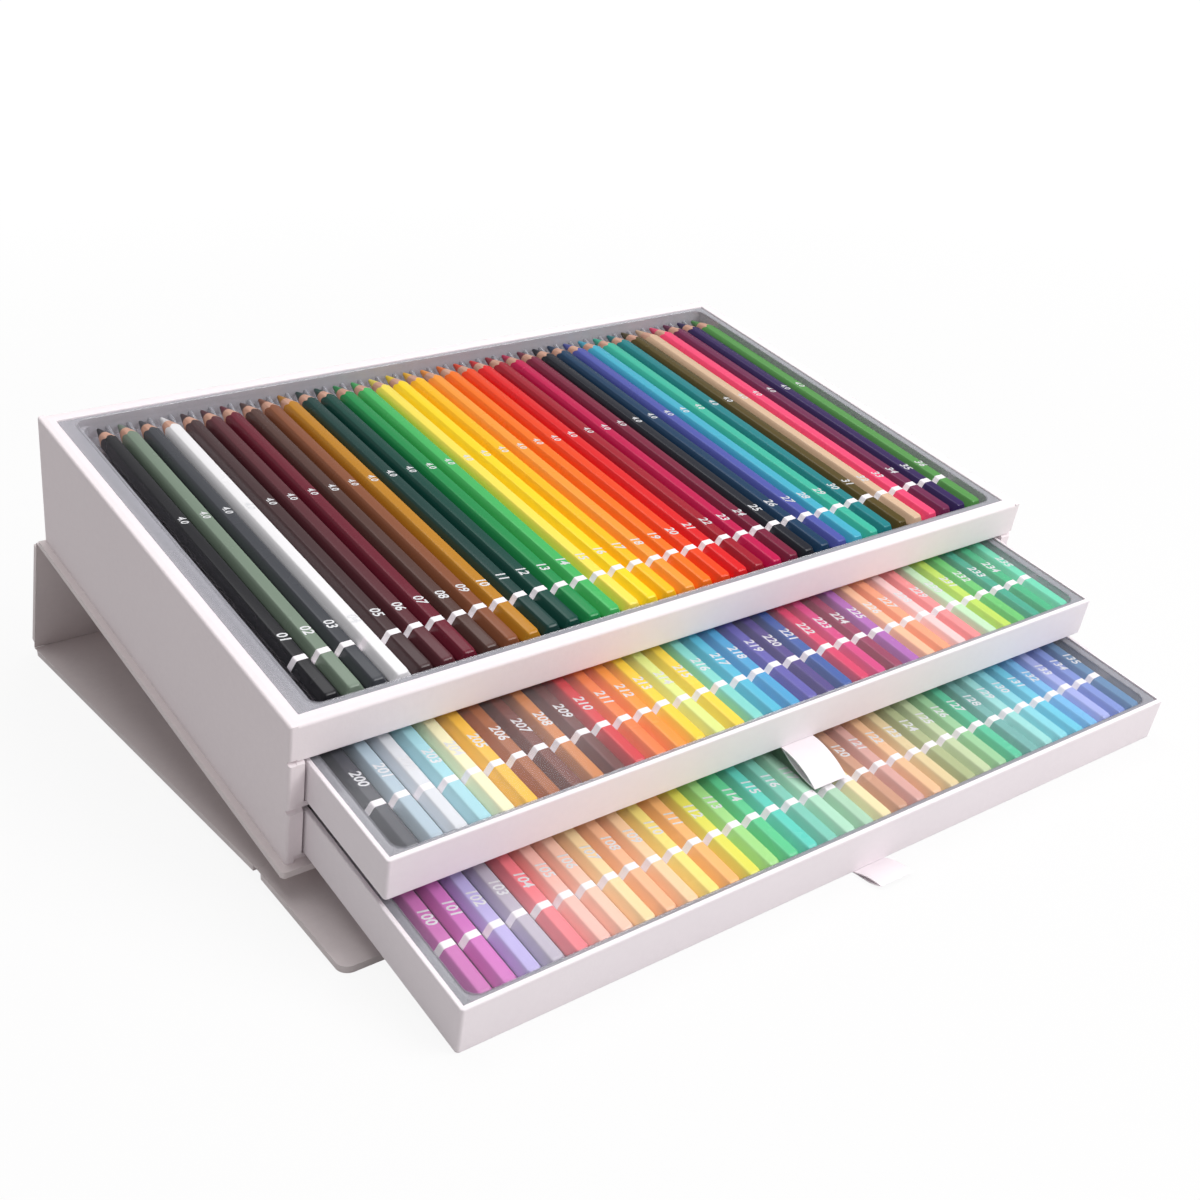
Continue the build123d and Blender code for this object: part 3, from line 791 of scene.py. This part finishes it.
def build_insert(tray):
    """The formed insert of one tray: flange, bead, ledge, wall, grooved bed and teeth."""
    sides, rim = tray_inside(tray)
    widths, ledge = INSERT_SHAPE[tray]
    first, last = pencil_spots[tray][0].translation, pencil_spots[tray][-1].translation
    pitch = (last.x - first.x) / (len(pencil_spots[tray]) - 1)
    groove = first.z - pencil_flats / 2 - BED_GAP - FILM_T
    flange = rim - FLANGE_DROP
    bm = bmesh.new()
    bmesh.ops.create_circle(bm, cap_ends=True, segments=4 * CORNER_POINTS, radius=1)
    half_step = Matrix.Rotation(pi / (4 * CORNER_POINTS), 3, "Z")
    bmesh.ops.rotate(bm, verts=bm.verts, matrix=half_step)
    cap = bm.faces[:][0]
    ways = [v.co.normalized() for v in cap.verts]
    set_loop(cap, ways, sides, OUTER_R, flange)
    pocket = step_in(sides, *(w * MM for w in widths))
    steps = [(pocket, flange)]
    pocket = step_in(pocket, *[BEAD] * 4)
    steps.append((pocket, flange + BEAD))
    pocket = step_in(pocket, *[BEAD] * 4)
    steps.append((pocket, flange))
    pocket = step_in(pocket, BEAD, *[BEAD / 2] * 3)
    steps.append((pocket, flange - LEDGE_DROP))
    pocket = step_in(pocket, ledge * MM, BEAD / 2, BEAD / 2, BEAD / 2)
    steps.append((pocket, flange - LEDGE_DROP - BEAD))
    pocket = step_in(pocket, *[BEAD / 2] * 4)
    steps.append((pocket, groove))
    for step_sides, z in steps:
        cap = push_cap(bm, cap, 0)
        set_loop(cap, ways, step_sides, POCKET_R, z)
    bmesh.ops.delete(bm, geom=[cap], context="FACES_ONLY")
    # the bed: a grid from pocket wall to pocket wall, with a ridge between each two pencils
    count = len(pencil_spots[tray])
    columns = (count + 2) * BED_COLUMNS
    made = bmesh.ops.create_grid(bm, x_segments=columns, y_segments=1, size=0.5)
    start_x = first.x - 1.5 * pitch
    for v in made["verts"]:
        x = start_x + (v.co.x + 0.5) * (count + 2) * pitch
        ridge = round((x - first.x) / pitch - 0.5)
        ridge = min(max(ridge, -1), count - 1)
        away = abs(x - first.x - (ridge + 0.5) * pitch)
        v.co.z = groove + RIDGE_H * max(0, 1 - away / RIDGE_HALF_W)
        v.co.x = min(max(x, pocket[0]), pocket[1])
        v.co.y = pocket[2] if v.co.y < 0 else pocket[3]
    bmesh.ops.remove_doubles(bm, verts=made["verts"], dist=MERGE)
    bmesh.ops.recalc_face_normals(bm, faces=bm.faces)
    bmesh.ops.solidify(bm, geom=bm.faces[:], thickness=FILM_T)
    for i in range(count + 1):
        x = first.x + (i - 0.5) * pitch
        if not pocket[0] < x - TOOTH.x < x + TOOTH.x < pocket[1]:
            continue
        made = bmesh.ops.create_cube(bm, size=1.0)
        place = Vector((x, pocket[3] - TOOTH.y / 2, groove + TOOTH.z / 2))
        bmesh.ops.scale(bm, vec=TOOTH, verts=made["verts"])
        bmesh.ops.translate(bm, vec=place, verts=made["verts"])
        for v in made["verts"]:
            if v.co.z > place.z:
                v.co.x = x + (v.co.x - x) * TOOTH_TAPER
                if v.co.y < place.y:
                    v.co.z -= TOOTH.z / 2
        around = {e for v in made["verts"] for e in v.link_edges}
        top = [e for e in around if all(v.co.z > place.z - TOOTH.z / 4 for v in e.verts)]
        bmesh.ops.bevel(
            bm, geom=top, affect="EDGES", offset=TOOTH_ROUND, segments=2, profile=0.5, material=-1
        )
    body, node = BODY_OF_TRAY[tray], f"{tray}_insert"
    return new_piece(bm, f"{tray}_formed_insert", body, [insert_film], [node])


for tray in COLOURS:
    insert = build_insert(tray)
    print(insert.name, len(insert.data.polygons), "faces")

# %% [markdown]
# ## Linings and hinge strips
# Inside, the cover's boards show the border of the wrap that is turned in over their edges, and a
# lining pasted over the middle. A strip of lining bridges each fold. It follows one board up to the
# fold and the other board after it.

# %% Where each cover panel lies
joints = {j["name"]: j for j in frame["joints"]}
BOARD_T = 2.4 * MM
TURN_IN = 12.0 * MM
STRIP_LAP = 9.0 * MM
LINING_T = 0.1 * MM
FOLD_GAP = 2.8 * MM
WRAP_LEVEL = 0.36 * MM
fold_points = {
    "spine": Vector(joints["cover_hinge"]["pos_m"]),
    "lid": Vector(joints["lid_hinge"]["pos_m"]),
    "flap": Vector(joints["flap_hinge"]["pos_m"]),
}
panel_width = max(v.co.x for v in frame["nodes"]["cover_lid_wrap"].data.vertices) * 2


def panel_axes(name):
    """A panel's fold point, its run away from the fold, its length and its inner normal."""
    fold = Vector((0, *fold_points[name].yz))
    away = [Vector((0, *v.co.yz)) - fold for v in frame["nodes"][f"cover_{name}_wrap"].data.vertices]
    run = max(away, key=lambda p: p.length)
    length = run.length
    run = run.normalized()
    return fold, run, length, Vector((0, -run.z, run.y))


# %% Linings on the panels
for name in fold_points:
    fold, run, length, inner = panel_axes(name)
    start = FOLD_GAP + STRIP_LAP
    end = length - (TURN_IN if name == "flap" else FOLD_GAP + STRIP_LAP)
    size = Vector((panel_width - 2 * TURN_IN, end - start, LINING_T))
    bm = bmesh.new()
    bmesh.ops.create_cube(bm, size=1.0)
    bmesh.ops.scale(bm, vec=size, verts=bm.verts)
    middle = fold + run * (start + end) / 2 + inner * (BOARD_T + LINING_T / 2)
    lay = Matrix((Vector((1, 0, 0)), run, inner)).transposed().to_4x4()
    lay.translation = middle
    new_piece(bm, f"{name}_lining", f"cover_{name}", [lining_paper], tip=lay)
    print(f"{name}_lining, mm:", [round(d / MM, 1) for d in size])

# %% Hinge strips over the folds
BASE_LAP = 0.1 * MM
base_run = tip_up.to_3x3() @ Vector((0, 1, 0))
panel_before = {"spine": "case", "lid": "cover_spine", "flap": "cover_lid"}
for name, body in panel_before.items():
    fold, run, length, inner = panel_axes(name)
    if name == "spine":
        back, back_inner = -base_run, Vector((0, -base_run.z, base_run.y))
    else:
        before = body.removeprefix("cover_")
        back, back_inner = -panel_axes(before)[1], panel_axes(before)[3]
    lap = BASE_LAP if name == "spine" else STRIP_LAP
    level = BOARD_T + LINING_T / 2
    path = [
        fold + back * (FOLD_GAP + lap) + back_inner * level,
        fold + back * FOLD_GAP + back_inner * level,
        fold + back * (FOLD_GAP - LINING_T) + back_inner * WRAP_LEVEL,
        fold + (back_inner + inner).normalized() * WRAP_LEVEL,
        fold + run * (FOLD_GAP - LINING_T) + inner * WRAP_LEVEL,
        fold + run * FOLD_GAP + inner * level,
        fold + run * (FOLD_GAP + STRIP_LAP) + inner * level,
    ]
    half = Vector((panel_width / 2 - TURN_IN / 3, 0, 0))
    bm = ribbon(path, -half, half, LINING_T)
    strip = new_piece(bm, f"{name}_hinge_strip", None, [lining_paper], tip=Matrix.Identity(4))
    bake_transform(strip)

# %% [markdown]
# ## Paper pulls
# Each drawer has a strip of ribbon, folded double and glued under its front. It is a strip two points
# wide, extruded along its path from the glued tail, out round the fold and back again, and given its
# thickness at the end.

# %% Build the pulls
PULL_T = 0.35 * MM
PULL_TURN_POINTS = 7
PULL_ROUND = 0.8
LEAF_GAP = 1.1


def build_pull(name, belly, lift):
    """A folded ribbon from under the drawer's front. Its leaves part by the belly, and its tip is
    lifted a little from where the frame has it."""
    low, high = level_box(f"{name}_pull")
    tray_low = level_box(f"{name}_drawer_tray")[0]
    front = tray_low.y
    points = [lay_level @ v.co for v in frame["nodes"][f"{name}_pull"].data.vertices]
    cad_tip = min(points, key=lambda p: p.y)
    root = Vector((low.x, front, tray_low.z + PULL_T))
    tip = Vector((low.x, cad_tip.y + PULL_T, cad_tip.z + lift))
    way = tip - root
    side = Vector((0, -way.z, way.y)).normalized()
    path = [Vector((low.x, high.y - PULL_T, tray_low.z + PULL_T)), root]
    for leaf in (1, -1):
        stations = [(s + 1) / (PULL_TURN_POINTS + 1) for s in range(PULL_TURN_POINTS)]
        if leaf < 0:
            stations.reverse()
        for s in stations:
            path.append(root + way * s - side * leaf * belly * sin(pi * s) ** PULL_ROUND)
        if leaf > 0:
            path.append(tip)
    path.append(root - Vector((0, 0, PULL_T * LEAF_GAP)))
    bm = ribbon(path, Vector(), Vector((high.x - low.x, 0, 0)), PULL_T)
    body, node = f"{name}_drawer", f"{name}_pull"
    piece = new_piece(bm, f"{name}_ribbon", body, [drawer_paper], [node])
    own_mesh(piece)
    return piece


PULL_FORM = {"middle": (1.5, 0.0), "bottom": (0.9, 1.2)}
for name, (belly, lift) in PULL_FORM.items():
    pull = build_pull(name, belly * MM, lift * MM)
    print(pull.name, len(pull.data.polygons), "faces")

# %% [markdown]
# ## Floor, light and camera
# The box stands on a pale floor that fades into a white surround. A broad softbox above and to the
# right lights the fronts, and another overhead lights the tops. An even white surround fills the
# sides, so that the left side stays a clear step darker, as matt white paper does beside a window.

# %% Floor
FLOOR_SIZE = 14.0
bm = bmesh.new()
bmesh.ops.create_grid(bm, x_segments=8, y_segments=8, size=FLOOR_SIZE / 2)
floor = new_piece(bm, "floor", None, [], tip=Matrix.Identity(4))
floor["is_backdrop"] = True
FLOOR_GLOW = 1.03
FLOOR_WHITE = 0.88
FADE_FROM = 0.45
FADE_TO = 1.5
floor_finish, tree, shader = new_finish("pale_floor", (206, 204, 204), 0.9, Specular_IOR_Level=0.0)
glow = tree.nodes.new("ShaderNodeEmission")
glow.inputs["Strength"].default_value = FLOOR_GLOW
rays = tree.nodes.new("ShaderNodeLightPath")
seen = add_math(tree, "MAXIMUM", rays.outputs["Is Camera Ray"], rays.outputs["Is Glossy Ray"])
seen = add_math(tree, "MAXIMUM", seen, rays.outputs["Is Transmission Ray"])
place = tree.nodes.new("ShaderNodeTexCoord")
away = tree.nodes.new("ShaderNodeVectorMath")
away.operation = "LENGTH"
tree.links.new(place.outputs["Object"], away.inputs[0])
fade = tree.nodes.new("ShaderNodeMapRange")
fade.inputs["From Min"].default_value = FADE_FROM
fade.inputs["From Max"].default_value = FADE_TO
fade.inputs["To Min"].default_value = FLOOR_WHITE
tree.links.new(away.outputs["Value"], fade.inputs["Value"])
share = add_math(tree, "MULTIPLY", seen, fade.outputs["Result"])
blend = tree.nodes.new("ShaderNodeMixShader")
tree.links.new(share, blend.inputs["Fac"])
tree.links.new(shader.outputs["BSDF"], blend.inputs[1])
tree.links.new(glow.outputs["Emission"], blend.inputs[2])
tree.links.new(blend.outputs["Shader"], tree.nodes["Material Output"].inputs["Surface"])
floor.data.materials.append(floor_finish)

# %% World and softbox
SURROUND = 0.34
world = bpy.data.worlds.new("surround")
bpy.context.scene.world = world
world.use_nodes = True
tree = world.node_tree
backdrop = tree.nodes["Background"]
rays = tree.nodes.new("ShaderNodeLightPath")
seen = add_math(tree, "MAXIMUM", rays.outputs["Is Camera Ray"], rays.outputs["Is Transmission Ray"])
level = add_math(tree, "ADD", add_math(tree, "MULTIPLY", seen, 1.0 - SURROUND), SURROUND)
tree.links.new(level, backdrop.inputs["Strength"])
backdrop.inputs["Color"].default_value = (1, 1, 1, 1)


def add_softbox(name, place, target, size, power):
    """A square area light aimed at a point."""
    light = bpy.data.lights.new(name, "AREA")
    light.shape = "SQUARE"
    light.size = size
    light.energy = power
    holder = bpy.data.objects.new(name, light)
    bpy.context.scene.collection.objects.link(holder)
    holder.location = place
    holder.rotation_euler = (Vector(target) - Vector(place)).to_track_quat("-Z", "Y").to_euler()


LIGHT_TARGET = (0, 0, 0.05)
SOFTBOXES = {
    "key_softbox": {"place": (0.75, -1.15, 1.25), "size": 1.1, "power": 24.0},
    "ceiling_softbox": {"place": (0.1, 0.35, 1.6), "size": 1.4, "power": 12.5},
}
for name, box in SOFTBOXES.items():
    add_softbox(name, box["place"], LIGHT_TARGET, box["size"], box["power"])
    print(name, box["power"], "W")

# %% Camera
CAMERA_PLACE = Vector((-322.0, -438.1, 283.5)) * MM
HEADING = radians(36.88)
LOOK_DOWN = radians(24.12)
CAMERA_ROLL = radians(0.64)
LENS = 48.0
camera_data = bpy.data.cameras.new("photo_camera")
camera_data.lens = LENS
camera_data.sensor_width = 36.0
camera = bpy.data.objects.new("photo_camera", camera_data)
bpy.context.scene.collection.objects.link(camera)
aim = Matrix.Rotation(-HEADING, 4, "Z") @ Matrix.Rotation(radians(90) - LOOK_DOWN, 4, "X")
camera.matrix_world = Matrix.Translation(CAMERA_PLACE) @ aim @ Matrix.Rotation(CAMERA_ROLL, 4, "Z")
bpy.context.scene.camera = camera
bpy.context.scene.view_settings.view_transform = "Standard"
print("camera, mm:", [round(c / MM, 1) for c in CAMERA_PLACE], "lens", LENS)

# %% Size of what is drawn
low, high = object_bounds()
print("visual box, mm:", [round(s / MM, 1) for s in high - low])
